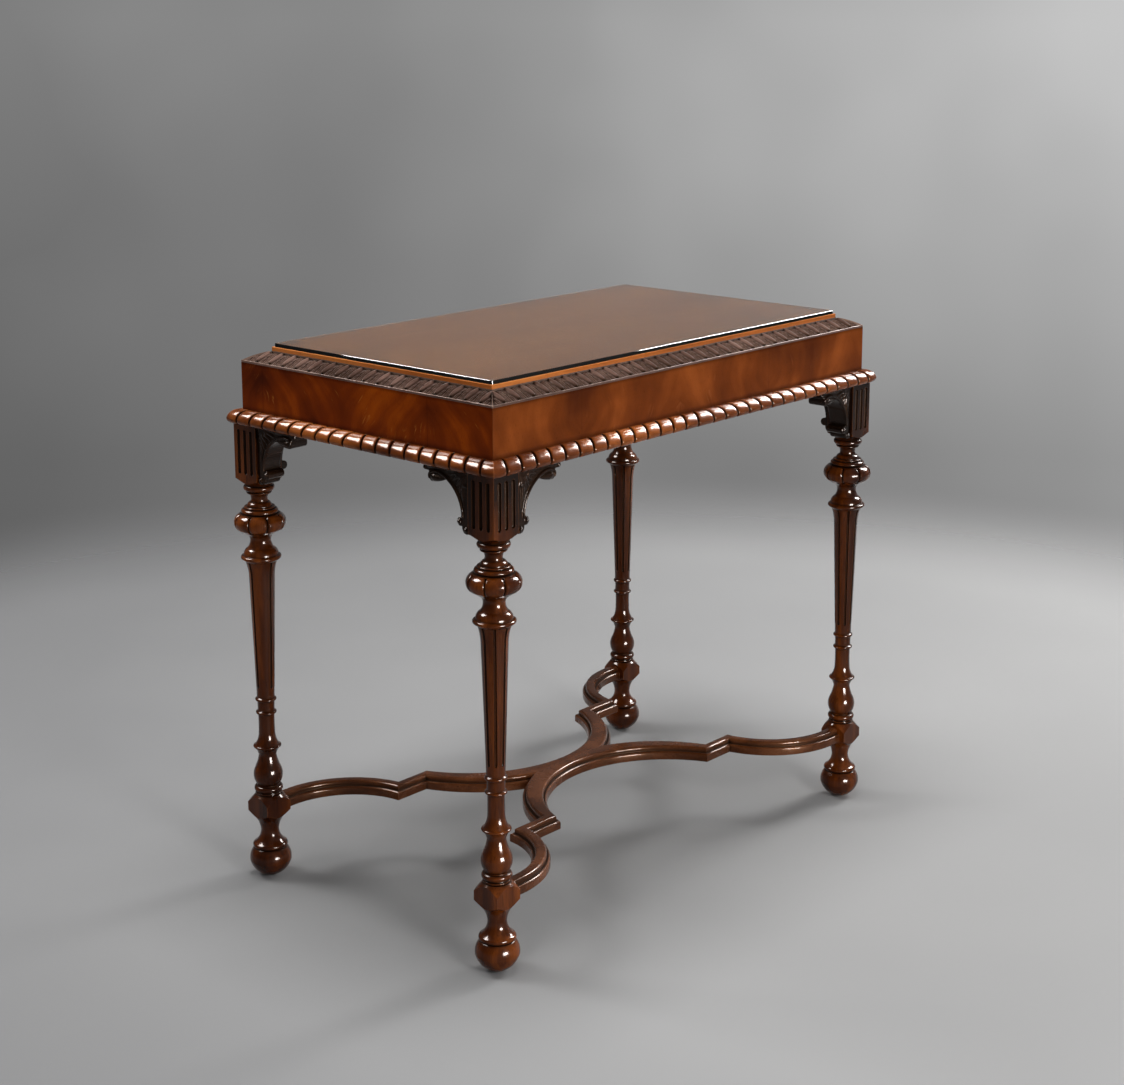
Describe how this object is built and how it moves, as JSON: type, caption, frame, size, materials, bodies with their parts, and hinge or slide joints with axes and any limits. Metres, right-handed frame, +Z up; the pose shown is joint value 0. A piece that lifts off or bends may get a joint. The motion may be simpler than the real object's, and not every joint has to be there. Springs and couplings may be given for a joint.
{
  "type": "side table",
  "caption": "Tea table with a raised stepped top under loose plate glass, carved edge, gadrooned frieze, turned fluted legs and a serpentine cross stretcher.",
  "frame": {"origin": "on the floor under the middle of the table", "axes": "+X along the long side, +Y along the short side with the front towards -Y, +Z up"},
  "size_m": [0.8148, 0.4988, 0.74],
  "materials": {
    "leg_mahogany": "glossy french polish, dark in the recesses",
    "bracket_mahogany": "glossy french polish, very dark",
    "rail_mahogany": "plain inside face, unpolished",
    "frieze_veneer": "flame figured veneer, glossy french polish",
    "gadroon_mahogany": "glossy french polish, dark in the cuts",
    "edge_mahogany": "carved, polished, dark in the recesses",
    "lipping_satinwood": "satin polish, orange",
    "panel_board": "unpolished",
    "top_veneer": "glossy french polish",
    "plate_glass": "clear, polished edge",
    "glue_block_pine": "sawn, unpolished",
    "screw_steel": "dull",
    "stretcher_mahogany": "glossy french polish, dark in the quirk",
    "dowel_beech": "unpolished"
  },
  "bodies": {
    "table": {"bracket_back_left_long": "bracket_mahogany", "bracket_back_left_short": "bracket_mahogany", "bracket_back_right_long": "bracket_mahogany", "bracket_back_right_short": "bracket_mahogany", "bracket_front_left_long": "bracket_mahogany", "bracket_front_left_short": "bracket_mahogany", "bracket_front_right_long": "bracket_mahogany", "bracket_front_right_short": "bracket_mahogany", "edge_moulding_back": "edge_mahogany", "edge_moulding_front": "edge_mahogany", "edge_moulding_left": "edge_mahogany", "edge_moulding_right": "edge_mahogany", "frieze_veneer_back": "frieze_veneer", "frieze_veneer_front": "frieze_veneer", "frieze_veneer_left": "frieze_veneer", "frieze_veneer_right": "frieze_veneer", "gadroon_back": "gadroon_mahogany", "gadroon_front": "gadroon_mahogany", "gadroon_left": "gadroon_mahogany", "gadroon_right": "gadroon_mahogany", "glue_blocks": "glue_block_pine", "leg_back_left": "leg_mahogany", "leg_back_right": "leg_mahogany", "leg_front_left": "leg_mahogany", "leg_front_right": "leg_mahogany", "lipping_back": "lipping_satinwood", "lipping_front": "lipping_satinwood", "lipping_left": "lipping_satinwood", "lipping_right": "lipping_satinwood", "rail_back": "rail_mahogany", "rail_front": "rail_mahogany", "rail_left": "rail_mahogany", "rail_right": "rail_mahogany", "stretcher_back": "stretcher_mahogany", "stretcher_dowels": "dowel_beech", "stretcher_front": "stretcher_mahogany", "top_panel": "panel_board", "top_screws": "screw_steel", "top_veneer": "top_veneer"},
    "glass": {"glass_top": "plate_glass"}
  },
  "joints": [
    {"name": "glass_lift", "type": "slide", "parent": "table", "child": "glass", "axis": [0, 0, 1], "range_m": [0, 0.15]}
  ]
}
